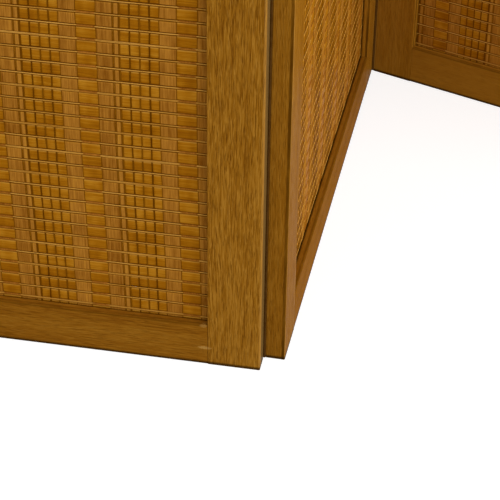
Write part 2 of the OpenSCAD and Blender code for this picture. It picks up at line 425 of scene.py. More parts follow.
# SHADOW_DEPTH and CREVICE_SHADE_WIDTH set out painted shade on a bar's faces along its inner edge and beside its
# groove
SHADOW_DEPTH, CREVICE_SHADE_WIDTH, INNER_SIDE = (0.9 * MM, 2.6 * MM), (0.0, 0.6 * MM), (0.3 * MM, 0.8 * MM)
# Where the painted highlight and the painted shade of a slat begin and end, as shares of its height
RIM_HIGHLIGHT_RISE, EDGE_SHADE_RISE = (0.76, 0.86), (0.37, 0.41)


@cache
def grain_group() -> Tree:
    """Builds the grain of a bar of open-pored timber that runs along Z.

    Returns:
        A group that turns a place into streaks, lines, dark pores and pale flecks.
    """
    g = ShaderGroup("Timber grain", ("Vector", "Seed", "Wander"), ("Streak", "Line", "Pore", "Fleck"))
    place = g.shifted(g["Vector"], g.vector(g.times(g["Seed"], 0.37), 0.0, g.times(g["Seed"], 1.9)))
    sway = g.spread(g.noise(g.scaled(place, SWAY_CELLS), detail=1), g["Wander"])
    place = g.shifted(place, g.vector(sway))
    pores = g.noise(g.scaled(place, PORE_CELLS), detail=1, distortion=0.3)
    flecks = g.noise(g.shifted(g.scaled(place, FLECK_CELLS), FLECK_SHIFT), detail=1, distortion=0.3)
    return g.give(
        Streak=g.noise(g.scaled(place, STREAK_CELLS), detail=2),
        Line=g.noise(g.scaled(place, LINE_CELLS), detail=3, roughness=0.6),
        Pore=g.remap(pores, *PORE_NOISE), Fleck=g.remap(flecks, *FLECK_NOISE))


@cache
def arris_group() -> Tree:
    """Builds masks of the long eased edges of a bar that runs along Z.

    Returns:
        A group that gives Highlight, 1 along an outer edge on the faces, where a highlight is painted,
        Shadow, 1 along an inner edge on the faces, where a shadow is painted, Dark, 1 along an edge on
        the narrow sides, Side, 1 on the whole outer narrow side, and Crevice, 1 beside the groove
        on the inner one, where shade is painted. Reach is the distance between the outer edges of a
        pair of bars, Width and Depth are the section of a bar, and Groove is half the width of the crevice.
    """
    g = ShaderGroup("Bar edges", ("Vector", "Reach", "Width", "Depth", "Band", "Groove"),
                    ("Light", "Shadow", "Dark", "Side", "Crevice"))
    parts = g.parts(g["Vector"])
    outer = g.math("MINIMUM", parts[0], g.minus(g["Reach"], parts[0]))
    inner = g.minus(g["Width"], outer)
    inward = g.math("MINIMUM", outer, inner)
    middle = g.math("ABSOLUTE", parts[1])
    under = g.minus(g.over(g["Depth"], 2.0), middle)
    away = g.math("MAXIMUM", inward, under)
    near, wide = (g.fade(away, (g.times(g["Band"], start), g.times(g["Band"], end)))
                  for start, end in (NEAR_BAND, WIDE_BAND))
    turn = g.minus(inward, under)
    outermost = g.math("LESS_THAN", outer, inner)
    on_face = g.remap(turn, *FACE_TURN)
    return g.give(
        Light=g.times(near, outermost, on_face), Shadow=g.times(g.fade(inner, SHADOW_DEPTH), on_face),
        Dark=g.times(wide, g.fade(turn, DARK_TURN)), Side=g.times(outermost, g.fade(turn, SIDE_TURN)),
        Crevice=g.times(g.fade(g.minus(middle, g["Groove"]), CREVICE_SHADE_WIDTH), g.fade(inner, INNER_SIDE)))


@cache
def fibre_group() -> Tree:
    """Builds fine parallel fibres that run along Z.

    Returns:
        A group that turns a place into fine fibres and slow changes along them. Fineness is the
        number of fibres in a metre.
    """
    g = ShaderGroup("Plant fibre", ("Vector", "Fineness", "Seed"), ("Fibre", "Cloud"))
    x, y, z = g.parts(g["Vector"])
    fibres = g.vector(g.times(x, g["Fineness"]), g.times(y, FIBRE_DEEP), g.plus(g.times(z, FIBRE_ALONG), g["Seed"]))
    clouds = g.shifted(g.scaled(g["Vector"], CLOUD_CELLS), g.vector(g["Seed"]))
    return g.give(Fibre=g.noise(fibres, detail=2, roughness=0.65), Cloud=g.noise(clouds, detail=2))


@cache
def row_group() -> Tree:
    """Builds the place of a point within its slat, from the lower to the upper edge.

    Returns:
        A group that gives Edge, 1 at both edges of a slat, where shade is painted, Rim,
        1 just below its upper edge, where a highlight is painted, and Row, the number of the slat from below.
    """
    g = ShaderGroup("Slat rows", ("Height", "Start", "Pitch", "Share"), ("Edge", "Rim", "Row"))
    rows = g.over(g.minus(g["Height"], g["Start"]), g["Pitch"])
    rise = g.over(g.math("FRACT", rows), g["Share"], clamp=True)
    middle = g.math("ABSOLUTE", g.minus(rise, 0.5))
    return g.give(Edge=g.remap(middle, *EDGE_SHADE_RISE), Rim=g.remap(rise, *RIM_HIGHLIGHT_RISE), Row=g.math("FLOOR", rows))


@cache
def side_group() -> Tree:
    """Builds the mask of the two side edges of a flat strand.

    Returns:
        A group that gives 1 within Band of an edge, where shade is painted. Across runs from -1 to 1
        over the strand.
    """
    g = ShaderGroup("Strand sides", ("Across", "Width", "Band"), ("Side",))
    inward = g.minus(1.0, g.math("ABSOLUTE", g["Across"]))
    distance = g.times(inward, g.over(g["Width"], 2.0))
    return g.give(Side=g.fade(distance, (g.times(g["Band"], 0.5), g["Band"])))


# Finishes


class Run(Enum):
    """Which way a piece runs in its panel, as the turn that brings it along Z."""

    UP = ((1, 0, 0), (0, 1, 0), (0, 0, 1))
    ACROSS = ((0, 0, 1), (0, -1, 0), (1, 0, 0))

    def turn(self) -> Matrix:
        """Gives the turn as a matrix."""
        return Matrix(self.value).to_4x4()


class Surface(Graph):
    """A material under construction, with its colour so far, read in the coordinates of one panel."""

    def __init__(self, name: str, panel: Panel, run: Run) -> None:
        """Starts the material with its Principled shader and its place in the panel.

        Args:
            name: Name of the material.
            panel: The panel that it belongs to.
            run: Which way its piece runs.
        """
        self.material = bpy.data.materials.new(f"{panel.side.value} {name}")
        self.material.use_nodes = True
        super().__init__(self.material.node_tree)
        self.seed = float(panel.seed)
        self.shader = self.tree.nodes["Principled BSDF"]
        to_panel = run.turn() @ panel.place().inverted()
        read = self.add("ShaderNodeTexCoord").outputs["Object"]
        inputs = {"Vector": read, "Location": to_panel.to_translation(), "Rotation": to_panel.to_euler("XYZ")}
        self.place = self.add("ShaderNodeMapping", inputs, vector_type="POINT").outputs[0]

    def group(self, tree: Tree, **inputs: object) -> Outputs:
        """Places one of the shared groups.

        Args:
            tree: The group.
            **inputs: Its inputs by name, with the panel's place for Vector if none is given.

        Returns:
            The group's outputs.
        """
        node = self.add("ShaderNodeGroup", node_tree=tree)
        for name, value in ({"Vector": self.place} | inputs).items():
            if name in node.inputs:
                self.feed(node.inputs[name], value)
        return node.outputs

    def carried(self, name: str) -> Socket:
        """Reads a number that each strand carries, by its name."""
        return self.add("ShaderNodeAttribute", attribute_type="GEOMETRY", attribute_name=name).outputs["Fac"]

    def axis(self, number: int) -> Socket:
        """Reads one axis of the place, 0 for x, 1 for y and 2 for z."""
        return self.parts(self.place)[number]

    def tint(self, tint: Colour, *shares: object) -> None:
        """Mixes a tint into the colour by the product of some shares."""
        self.colour = self.mix(self.times(*shares), self.colour, tint)

    def slat_rows(self, mat: "MatSizes", height: Socket) -> Outputs:
        """Finds a height within the slats of a mat."""
        return self.group(row_group(), Height=height, Start=mat.first_visible, Pitch=mat.pitch,
                          Share=mat.visible_height / mat.pitch)

    def uneven(self, noise: Socket, middle: float, swing: float = 0.1) -> Socket:
        """Lets a number swing around its middle with a noise."""
        return self.plus(self.times(noise, 2 * swing), middle - swing)

    def finish(self, roughness: object, height: Socket, depth: float, **constants: object) -> Material:
        """Fills the Principled shader.

        Args:
            roughness: The roughness.
            height: Height of the surface from 0 to 1.
            depth: Depth of that relief, in metres.
            **constants: The shader's other inputs, underscores for spaces.

        Returns:
            The finished material.
        """
        self.feed(self.shader.inputs["Base Color"], self.colour)
        self.feed(self.shader.inputs["Roughness"], roughness)
        bump = self.add("ShaderNodeBump", {"Height": height, "Distance": depth, "Strength": 1.0})
        self.feed(self.shader.inputs["Normal"], bump.outputs[0])
        for name, value in constants.items():
            self.feed(self.shader.inputs[name.replace("_", " ")], value)
        return self.material


@dataclass(frozen=True)
class TimberFinish:
    """Satin varnish on open-pored timber.

    A pair says where an effect begins and ends, a share how strong it is.
    """

    name: str
    run: Run
    deep: Colour
    middle: Colour
    pale: Colour
    pore: Colour
    fleck: Colour
    # Colour of the dark arris line, and of the painted shade beside the groove and along the rails' inner edges
    edge: Colour
    wander: float
    line_share: float
    pore_share: float
    fleck_share: float
    # Strength of the painted highlight along the outer arris of a stile
    highlight_line: float
    dark_line: float
    streak_share: float = 0.9
    arris: float = 3.0 * MM
    crevice: float = 2.3 * MM
    # Strength of the painted shade beside the groove
    crevice_shade_share: float = 0.8
    shadow_share: float = 0.6
    # Heights where the painted shadow at the foot is full and where it ends
    foot_shadow_end: Pair = (1.6 * MM, 4.0 * MM)
    foot_shadow_share: float = 0.92
    stops: Triple = (0.12, 0.5, 0.88)
    rub_cells: Triple = (90, 90, 22)
    patchiness_noise: Pair = (0.40, 0.60)
    patchiness: Pair = (0.6, 1.0)
    grey_depth: Pair = (2.0 * MM, 5.0 * MM)
    joint_depth: Pair = (-2.0 * MM, 0.0)
    pore_roughness: float = 0.18
    rub_roughness: float = 0.25
    scuff_cells: Triple = (700, 700, 700)
    scuff_ragged: float = 1.6
    scuff_edge: Pair = (0.3, 1.1)
    scuff_face: Pair = (4.0 * MM, 6.0 * MM)
    # Pale colour of the real scuffs, also used for the painted highlight along the arris
    rubbed_and_highlight: Colour = srgb(182, 136, 66)
    greyed: Colour = srgb(108, 82, 42)
    # Colour of the painted shadow at the foot
    foot: Colour = srgb(58, 36, 8)
    roughness: float = 0.46
    gloss: float = 0.006
    relief: float = 0.00018

    def material(self, panel: Panel) -> Material:
        """Makes the finish for the bars of one panel.

        Args:
            panel: The panel.

        Returns:
            The material.
        """
        s = Surface(self.name, panel, self.run)
        sizes = panel.sizes
        upright = self.run is Run.UP
        grain = s.group(grain_group(), Seed=s.seed + (0 if upright else 5), Wander=self.wander)
        lines = s.spread(grain["Line"], self.line_share * panel.figure)
        streaks = s.spread(grain["Streak"], self.streak_share * panel.figure)
        tone = s.plus(lines, streaks, 0.5 + (panel.shade if upright else panel.rail_shade), clamp=True)
        s.colour = s.ramp(tone, self.stops, (self.deep, self.middle, self.pale))
        s.tint(self.pore, grain["Pore"], self.pore_share * panel.figure)
        s.tint(self.fleck, grain["Fleck"], self.fleck_share * panel.figure)
        arris = s.group(arris_group(), Reach=sizes.width if upright else sizes.height, Depth=sizes.timber,
                        Width=sizes.stile if upright else sizes.rail, Band=self.arris, Groove=self.crevice)
        rubbed_and_highlight = s.noise(s.scaled(s.place, self.rub_cells), detail=3)
        patchiness = s.remap(rubbed_and_highlight, *self.patchiness_noise, *self.patchiness)
        # Painted highlight along the outer arris of a stile's faces, broken into patches by a noise
        s.tint(self.rubbed_and_highlight, arris["Light"], patchiness, self.highlight_line)
        # With greyed_side, a stile's outer narrow side takes the pale colour at the strength of the painted
        # highlight, and greys towards its back
        if panel.greyed_side and upright:
            depths = (depth - sizes.timber / 2 for depth in self.grey_depth)
            behind = s.remap(s.axis(1), *depths, 0.0, panel.greyed_side)
            s.tint(self.rubbed_and_highlight, arris["Side"], self.highlight_line)
            s.tint(self.greyed, arris["Side"], behind)
        else:
            # A dark line along the arris of the narrow sides, in patches; on a stile only at its front
            front = s.fade(s.axis(1), self.joint_depth, self.dark_line) if upright else self.dark_line
            s.tint(self.edge, arris["Dark"], patchiness, front)
        # Painted shade on the inner narrow side, beside the groove that holds the mat
        s.tint(self.edge, arris["Crevice"], self.crevice_shade_share)
        # Painted shadow on a rail's faces along its inner edge
        if not upright:
            s.tint(self.edge, arris["Shadow"], self.shadow_share)
        for scuff in panel.scuffs:
            s.tint(self.rubbed_and_highlight, self.scuffed(s, scuff))
        # Painted shadow along the foot of every bar, darker towards the floor
        s.tint(self.foot, s.fade(s.axis(2 if upright else 0), self.foot_shadow_end, self.foot_shadow_share))
        roughness = s.plus(s.times(grain["Pore"], self.pore_roughness), self.roughness,
                           s.spread(rubbed_and_highlight, self.rub_roughness))
        height = s.minus(s.times(grain["Line"], 0.5), grain["Pore"])
        return s.finish(roughness, height, self.relief, Specular_IOR_Level=self.gloss)

    def scuffed(self, s: Surface, scuff: Scuff) -> Socket:
        """Builds the mask of a scuff.

        Args:
            s: The material under construction.
            scuff: The scuff.

        Returns:
            Up to the scuff's strength within its ragged oval, 0 elsewhere.
        """
        across, up, forward = (0, 2, -1.0) if self.run is Run.UP else (2, 0, 1.0)
        wide = s.over(s.minus(s.axis(across), scuff.x), scuff.half_width)
        high = s.over(s.minus(s.axis(up), scuff.z), scuff.half_height)
        apart = s.plus(s.times(wide, wide), s.times(high, high))
        ragged = s.spread(s.noise(s.scaled(s.place, self.scuff_cells), detail=2), self.scuff_ragged)
        oval = s.fade(s.plus(apart, ragged), self.scuff_edge, scuff.strength)
        return s.times(oval, s.remap(s.times(s.axis(1), forward), *self.scuff_face))


STILE_FINISH = TimberFinish(
    "stile timber", Run.UP, deep=srgb(114, 66, 8), middle=srgb(147, 95, 18), pale=srgb(172, 119, 38),
    pore=srgb(96, 52, 4), fleck=srgb(186, 132, 48), edge=srgb(88, 52, 4), wander=0.005, line_share=2.2,
    pore_share=0.5, fleck_share=0.5, highlight_line=0.45, dark_line=0.9)
RAIL_FINISH = replace(
    STILE_FINISH, name="rail timber", run=Run.ACROSS, deep=srgb(116, 66, 10), middle=srgb(142, 89, 17),
    pale=srgb(163, 110, 30), wander=0.008, line_share=1.3, pore_share=0.3, fleck_share=0.25, highlight_line=0.0,
    dark_line=0.5, gloss=0.001)


@dataclass(frozen=True)
class SlatFinish:
    """Glossy stained flat reed that lies across the mat."""

    deep: Colour
    middle: Colour
    pale: Colour
    # Colour of the painted highlight just below a slat's upper edge
    rim: Colour
    # Colour of the painted shade along both edges of a slat
    edge: Colour
    fineness: float = 1500.0
    tone_share: float = 0.35
    patch_share: float = 0.9
    cloud_share: float = 0.7
    fibre_share: float = 1.4
    edge_shade_share: float = 0.92
    patch_along: float = 110.0
    patch_rows: float = 13.7
    stops: Triple = (0.1, 0.5, 0.9)
    rim_highlight_noise: Pair = (0.3, 0.6)
    rim_highlight_share: Pair = (0.45, 1.0)
    roughness: float = 0.4
    gloss: float = 0.008
    relief: float = 0.00012

    def material(self, panel: Panel, mat: "MatSizes") -> Material:
        """Makes the finish for the slats of one mat.

        Args:
            panel: The panel.
            mat: The sizes of the mat.

        Returns:
            The material.
        """
        s = Surface("slat reed", panel, Run.ACROSS)
        grain = s.group(fibre_group(), Fineness=self.fineness, Seed=s.seed)
        rows = s.slat_rows(mat, s.axis(0))
        along, across = s.times(s.axis(2), self.patch_along), s.times(rows["Row"], self.patch_rows)
        patch = s.noise(s.vector(along, across, s.seed), detail=1)
        tone = s.plus(s.spread(s.carried("tone"), self.tone_share), s.spread(patch, self.patch_share),
                      s.spread(grain["Cloud"], self.cloud_share), s.spread(grain["Fibre"], self.fibre_share),
                      0.5 + panel.mat_shade, clamp=True)
        s.colour = s.ramp(tone, self.stops, (self.deep, self.middle, self.pale))
        # Painted highlight just below the upper edge of each slat
        s.tint(self.rim, rows["Rim"], s.remap(grain["Cloud"], *self.rim_highlight_noise, *self.rim_highlight_share))
        # Painted shade along both edges of each slat, next to the reeds
        s.tint(self.edge, rows["Edge"], self.edge_shade_share)
        roughness = s.uneven(grain["Cloud"], self.roughness)
        return s.finish(roughness, grain["Fibre"], self.relief, Specular_IOR_Level=self.gloss)


@dataclass(frozen=True)
class StrandFinish:
    """Dull plant fibre or thread, streaked along its length."""

    name: str
    run: Run
    deep: Colour
    pale: Colour
    fineness: float
    contrast: float = 1.3
    cell_contrast: float = 0.0
    # Strength of the painted highlight at the top of each cell of a warp, and of the painted shade at its ends
    cell_rim_highlight: float = 0.22
    cell_edge_shade: float = 0.85
    cloud_share: float = 0.7
    side_shade_band: float = 0.0
    side_shade_share: float = 0.85
    # Colour of the painted shade at cell ends, side edges and reed flanks
    side: Colour = srgb(110, 62, 0)
    bright: Colour | None = None
    stops: Pair = (0.05, 0.95)
    bright_stops: Triple = (0.05, 0.8, 1.0)
    chance: float = 97.0
    flank_shade: float = 0.0
    flank_shade_rise: Pair = (0.5, 0.85)
    roughness: float = 0.75
    gloss: float = 0.005
    relief: float = 0.00016

    def material(self, panel: Panel, mat: "MatSizes") -> Material:
        """Makes the finish for the strands of one mat.

        Args:
            panel: The panel.
            mat: The sizes of the mat.

        Returns:
            The material.
        """
        s = Surface(self.name, panel, self.run)
        grain = s.group(fibre_group(), Fineness=self.fineness, Seed=s.seed + 3)
        tone = s.plus(s.spread(grain["Fibre"], self.contrast), s.spread(grain["Cloud"], self.cloud_share),
                      panel.mat_shade, s.carried("tone"), clamp=True)
        rows = s.slat_rows(mat, s.axis(2)) if self.cell_contrast else None
        if rows:
            cell = s.vector(rows["Row"], s.times(s.carried("tone"), self.chance), s.seed)
            chance = s.add("ShaderNodeTexWhiteNoise", {"Vector": cell}, noise_dimensions="3D").outputs["Value"]
            tone = s.plus(tone, s.spread(chance, self.cell_contrast), clamp=True)
            # Painted highlight at the top of each cell of a warp
            tone = s.plus(tone, s.times(rows["Rim"], self.cell_rim_highlight), clamp=True)
        if self.bright:
            s.colour = s.ramp(tone, self.bright_stops, (self.deep, self.pale, self.bright))
        else:
            s.colour = s.ramp(tone, self.stops, (self.deep, self.pale))
        if rows:
            # Painted shade at both ends of each cell of a warp, next to the reeds
            s.tint(self.side, rows["Edge"], self.cell_edge_shade)
        # Painted shade along both side edges of a front warp
        if self.side_shade_band:
            side = s.group(side_group(), Across=s.carried("across"), Width=s.carried("width"), Band=self.side_shade_band)
            s.tint(self.side, side["Side"], self.side_shade_share)
        # Painted shade on the upper and lower sides of each reed, leaving its middle pale
        if self.flank_shade:
            rise = s.remap(s.math("ABSOLUTE", s.carried("rise")), *self.flank_shade_rise)
            s.tint(self.side, rise, self.flank_shade)
        roughness = s.uneven(grain["Fibre"], self.roughness)
        return s.finish(roughness, grain["Fibre"], self.relief, Specular_IOR_Level=self.gloss)


@dataclass(frozen=True)
class MetalFinish:
    """Satin metal with brown patina where hands and rags don't reach."""

    name: str = "aged brass"
    metal: Colour = srgb(181, 146, 74)
    patina: Colour = srgb(84, 60, 26)
    roughness: float = 0.34
    bare: float = 1.0
    gloss: float = 0.5
    relief: float = 0.00004
    spot_cells: Triple = (260, 260, 190)
    brush_cells: Triple = (2600, 2600, 120)
    spots: Pair = (0.42, 0.68)
    patina_share: float = 0.8
    patina_roughness: float = 0.3
    patina_cover: float = 0.35

    def material(self, panel: Panel) -> Material:
        """Makes the finish for the metal parts of one panel.

        Args:
            panel: The panel.

        Returns:
            The material.
        """
        s = Surface(self.name, panel, Run.UP)
        aged = s.remap(s.noise(s.scaled(s.place, self.spot_cells), detail=4, roughness=0.65), *self.spots)
        brushed = s.noise(s.scaled(s.place, self.brush_cells), detail=1)
        s.colour = s.mix(s.times(aged, self.patina_share), self.metal, self.patina)
        roughness = s.plus(s.times(aged, self.patina_roughness), s.times(brushed, self.roughness))
        metallic = s.times(s.minus(1.0, s.times(aged, self.patina_cover)), self.bare)
        return s.finish(roughness, brushed, self.relief, Metallic=metallic, Specular_IOR_Level=self.gloss)


STEEL_FINISH = MetalFinish(
    "browned steel", metal=srgb(84, 54, 16), patina=srgb(70, 42, 8), roughness=0.9, bare=0.1, gloss=0.02)


# The woven mats


@dataclass(frozen=True)
class MatSizes:
    """Sizes of a woven mat, in metres, the same as in the CAD source where it has them."""

    slat_height: float = 9.5 * MM
    slat_thickness: float = 0.9 * MM
    slat_gap: float = 2.0 * MM
    slat_overlap: float = 0.85 * MM
    reed_radius: float = 0.6 * MM
    hold: float = 8.3 * MM
    back_warp: float = 14.5 * MM
    front_warp: float = 13.2 * MM
    side_warp: float = 14.0 * MM
    narrow_warp: float = 4.4 * MM
    warp_gap: float = 0.4 * MM
    warp_thickness: float = 0.26 * MM
    thread: float = 1.2 * MM
    thread_thickness: float = 0.5 * MM
    thread_cell: float = 6.5 * MM
    thread_count: int = 4
    least_strip: float = 1.0 * MM
    first_slat: float = 33.2 * MM
    rows: int = 154

    @property
    def pitch(self) -> float:
        """Height from a slat to the next one."""
        return self.slat_height + self.slat_gap

    @property
    def visible_height(self) -> float:
        """Height of a slat with its thin edges, which run behind the reeds."""
        return self.slat_height + 2 * self.slat_overlap

    @property
    def first_visible(self) -> float:
        """Height of the lowest thin edge."""
        return self.first_slat - self.slat_overlap

    @property
    def first_reed(self) -> float:
        """Height of the middle of the lowest reed."""
        return self.first_slat + self.slat_height + self.slat_gap / 2

    @property
    def narrow_start(self) -> float:
        """Start of the narrow warp in a repeat of the pattern."""
        return self.back_warp + self.front_warp + 2 * self.warp_gap

    @property
    def thread_start(self) -> float:
        """Start of the first thread in a repeat of the pattern."""
        return self.narrow_start + self.narrow_warp

    @property
    def thread_pitch(self) -> float:
        """Distance from a thread to the next one."""
        return self.thread + self.thread_cell

    @property
    def side_start(self) -> float:
        """Start of the side warp in a repeat of the pattern."""
        return self.thread_start + self.thread_count * self.thread_pitch

    @property
    def repeat(self) -> float:
        """Width of a repeat of the pattern."""
        return self.side_start + self.side_warp + self.warp_gap


@dataclass
class Strands:
    """Where the strands of one kind start, with what each one carries."""

    places: list[Triple] = field(default_factory=list)
    carried: dict[str, list[float]] = field(default_factory=dict)

    def add(self, place: Triple, **values: float) -> None:
        """Adds a strand.

        Args:
            place: Its start in panel coordinates.
            **values: The numbers that it carries, by their names.
        """
        self.places.append(place)
        for name, value in values.items():
            self.carried.setdefault(name, []).append(value)

    def mesh(self) -> bpy.types.Mesh:
        """Makes a mesh of loose points.

        Returns:
            The mesh, whose points carry the numbers.
        """
        mesh = bpy.data.meshes.new("strand starts")
        mesh.from_pydata(self.places, [], [])
        for name, values in self.carried.items():
            mesh.attributes.new(name, "FLOAT", "POINT").data.foreach_set("value", values)
        return mesh


# Wander of the strands, as its cells in a metre and its share on each axis
SLAT_WANDER, REED_WANDER = ((22, 0, 75), (0, 0.5, 1)), ((38, 0, 900), (0, 0.4, 1))
WARP_WANDER = ((210, 0, 70), (1, 0, 0))
# Where a reed's bend begins and ends, inside and outside the edge of a warp
BEND_MARGINS = (1.5 * MM, 2.5 * MM)
# How thick and thin a reed gets along its length
SWELL_CELLS, SWELL_NOISE, SWELL_GIRTH = (120, 0, 900), (0.3, 0.7), (0.88, 1.1)
# Radians of a warp's slow lean in a metre of height
LEAN_WAVES = 13.5


class StrandTree(Group):
    """A Geometry Nodes tree that lays strands at points."""

    def __init__(self, name: str, sizes: tuple[str, ...], counts: tuple[str, ...]) -> None:
        """Starts the tree, which also takes the points, a waver, a seed and a material.

        Args:
            name: Name of the tree.
            sizes: Names of its sizes.
            counts: Names of its whole numbers.
        """
        kinds = SocketKind
        inputs = {"Starts": kinds.GEOMETRY} | dict.fromkeys((*sizes, "Waver"), kinds.FLOAT)
        inputs |= dict.fromkeys((*counts, "Seed"), kinds.INT) | {"Material": kinds.MATERIAL}
        super().__init__(name, "GeometryNodeTree", inputs, {"Strands": kinds.GEOMETRY})
        self.tree.is_modifier = True

    def here(self) -> Socket:
        """Reads where each point is."""
        return self.add("GeometryNodeInputPosition").outputs[0]

    def carried(self, name: str) -> Socket:
        """Reads a number that each strand carries, by its name."""
        return self.add("GeometryNodeInputNamedAttribute", {"Name": name}, data_type="FLOAT").outputs[0]

    def stepped(self, share: Socket, low: Socket, high: Socket) -> Socket:
        """Goes from the low number to the high one by a share."""
        return self.plus(low, self.times(share, self.minus(high, low)))

    def line(self, end: object, points: Socket) -> Socket:
        """Draws a straight line of even steps from the origin to an end."""
        line = self.add("GeometryNodeCurvePrimitiveLine", {"Start": (0, 0, 0), "End": end}).outputs[0]
        return self.add("GeometryNodeResampleCurve", {"Curve": line, "Count": points}).outputs[0]

    def oval(self, sides: object, across: object, deep: object) -> Socket:
        """Draws an oval section.

        Args:
            sides: Its number of corners.
            across: Its width.
            deep: Its depth.

        Returns:
            The section's curve.
        """
        ring = self.add("GeometryNodeCurvePrimitiveCircle", {"Resolution": sides, "Radius": 0.5}).outputs[0]
        size = self.vector(across, deep, 1.0)
        return self.add("GeometryNodeTransform", {"Geometry": ring, "Scale": size}).outputs[0]

    def skinned(self, curve: Socket, section: Socket, **inputs: Socket) -> Socket:
        """Closes a skin of one section round a curve, with caps at its ends."""
        inputs = {"Curve": curve, "Profile Curve": section, "Fill Caps": True} | inputs
        return self.add("GeometryNodeCurveToMesh", inputs).outputs[0]

    def stored(self, geometry: Socket, name: str, value: Socket) -> Socket:
        """Lets each point carry a number under a name."""
        inputs = {"Geometry": geometry, "Name": name, "Value": value}
        return self.add("GeometryNodeStoreNamedAttribute", inputs, data_type="FLOAT", domain="POINT").outputs[0]

    def moved(self, geometry: Socket, offset: Socket) -> Socket:
        """Moves each point by an offset."""
        return self.add("GeometryNodeSetPosition", {"Geometry": geometry, "Offset": offset}).outputs[0]

    def laid(self, strand: Socket, **inputs: Socket) -> Socket:
        """Lays a strand at every start and makes them all real.

        Args:
            strand: One strand, a mesh or a curve, which starts at the origin.
            **inputs: More inputs of the node that lays it, such as a turn or a scale.

        Returns:
            All strands.
        """
        inputs = {"Points": self["Starts"], "Instance": strand} | inputs
        strands = self.add("GeometryNodeInstanceOnPoints", inputs).outputs[0]
        return self.add("GeometryNodeRealizeInstances", {"Geometry": strands}).outputs[0]

    def wavered(self, strands: Socket, cells: Triple, way: Triple) -> Socket:
        """Lets strands wander from their lines.

        Args:
            strands: The strands, as a mesh or as curves.
            cells: The wander's cells in a metre on each axis.
            way: Its share on each axis.

        Returns:
            The moved strands.
        """
        place = self.shifted(self.scaled(self.here(), cells), self.vector(self["Seed"], self["Seed"]))
        drift = self.spread(self.noise(place, detail=1), self["Waver"])
        return self.moved(strands, self.scaled(self.vector(drift, drift, drift), way))

    def ended(self, strands: Socket, smooth: bool) -> Tree:
        """Ends the tree with real geometry, its shading and its material.

        Args:
            strands: The geometry so far.
            smooth: Whether the faces shade smoothly.

        Returns:
            The finished tree.
        """
        shaded = self.add("GeometryNodeSetShadeSmooth", {"Geometry": strands, "Shade Smooth": smooth}).outputs[0]
        real = self.add("GeometryNodeRealizeInstances", {"Geometry": shaded}).outputs[0]
        inputs = {"Geometry": real, "Material": self["Material"]}
        return self.give(Strands=self.add("GeometryNodeSetMaterial", inputs).outputs[0])


@cache
def slat_tree() -> Tree:
    """Builds the tree that lays flat oval slats across the mat.

    Returns:
        The tree.
    """
    g = StrandTree("Lay slats", ("Length", "Height", "Thickness", "Tilt"), ("Steps", "Sides"))
    section = g.oval(g["Sides"], g["Thickness"], g["Height"])
    slat = g.skinned(g.line(g.vector(g["Length"]), g["Steps"]), section)
    turn = g.add("FunctionNodeRandomValue", {"Seed": g["Seed"]}, data_type="FLOAT")
    g.feed(turn.inputs[2], g.times(g["Tilt"], -1.0))
    g.feed(turn.inputs[3], g["Tilt"])
    turned = g.add("FunctionNodeEulerToRotation", {0: g.vector(turn.outputs[1])}).outputs[0]
    slats = g.laid(slat, Rotation=turned, Scale=g.vector(1.0, 1.0, g.carried("girth")))
    return g.ended(g.wavered(slats, *SLAT_WANDER), smooth=True)


@cache
def reed_tree() -> Tree:
    """Builds the tree that lays round reeds, which give way to the warps that pass before them.

    Returns:
        The tree.
    """
    g = StrandTree("Lay reeds", ("Length", "Repeat", "Warp Middle", "Warp Width", "Forward", "Back"),
                   ("Steps", "Sides"))
    reeds = g.laid(g.line(g.vector(g["Length"]), g["Steps"]))
    turns = g.over(g.minus(g.parts(g.here())[0], g["Warp Middle"]), g["Repeat"])
    away = g.times(g.math("ABSOLUTE", g.minus(turns, g.math("ROUND", turns))), g["Repeat"])
    half = g.over(g["Warp Width"], 2.0)
    bend = g.remap(away, g.minus(half, BEND_MARGINS[0]), g.plus(half, BEND_MARGINS[1]), g["Back"], g["Forward"])
    bent = g.wavered(g.moved(reeds, g.vector(0.0, bend)), *REED_WANDER)
    swell = g.remap(g.noise(g.scaled(g.here(), SWELL_CELLS), detail=1), *SWELL_NOISE, *SWELL_GIRTH, smooth=False)
    section = g.stored(g.oval(g["Sides"], 2.0, 2.0), "rise", g.parts(g.here())[1])
    return g.ended(g.skinned(bent, section, Scale=g.times(g.carried("girth"), swell)), smooth=True)


@cache
def warp_tree() -> Tree:
    """Builds the tree that weaves upright strands over the slats and under the reeds, or the other way.

    Returns:
        The tree.
    """
    g = StrandTree("Weave warps", ("Pitch", "First Reed", "Top", "At Slats", "At Reeds", "Reach", "Dip",
                                   "Thickness", "Lean"), ("Rows", "Sides"))
    corners = 4.0
    line = g.line((0, 0, 1), g.plus(g.times(g["Rows"], corners), 2.0))
    step = g.minus(g.add("GeometryNodeInputIndex").outputs[0], 1.0)
    row = g.math("FLOOR", g.over(step, corners))
    corner = g.minus(g.minus(step, g.times(row, corners)), (corners - 1) / 2)
    outer = g.math("GREATER_THAN", g.math("ABSOLUTE", corner), 1.0)
    reach = g.stepped(outer, g["Dip"], g["Reach"])
    middle = g.plus(g["First Reed"], g.times(row, g["Pitch"]))
    height = g.math("MINIMUM", g.plus(middle, g.times(g.math("SIGN", corner), reach)), g["Top"])
    depth = g.stepped(outer, g["At Reeds"], g["At Slats"])
    woven = g.add("GeometryNodeSetPosition", {"Geometry": line, "Position": g.vector(0.0, depth, height)}).outputs[0]
    warp = g.skinned(woven, g.oval(g["Sides"], 1.0, g["Thickness"]))
    warp = g.stored(warp, "across", g.times(g.parts(g.here())[0], 2.0))
    warps = g.laid(warp, Scale=g.vector(g.carried("width"), 1.0, 1.0))
    swing = g.times(g.math("COSINE", g.times(g.parts(g.here())[2], LEAN_WAVES)), g["Lean"])
    return g.ended(g.wavered(g.moved(warps, g.vector(swing)), *WARP_WANDER), smooth=False)


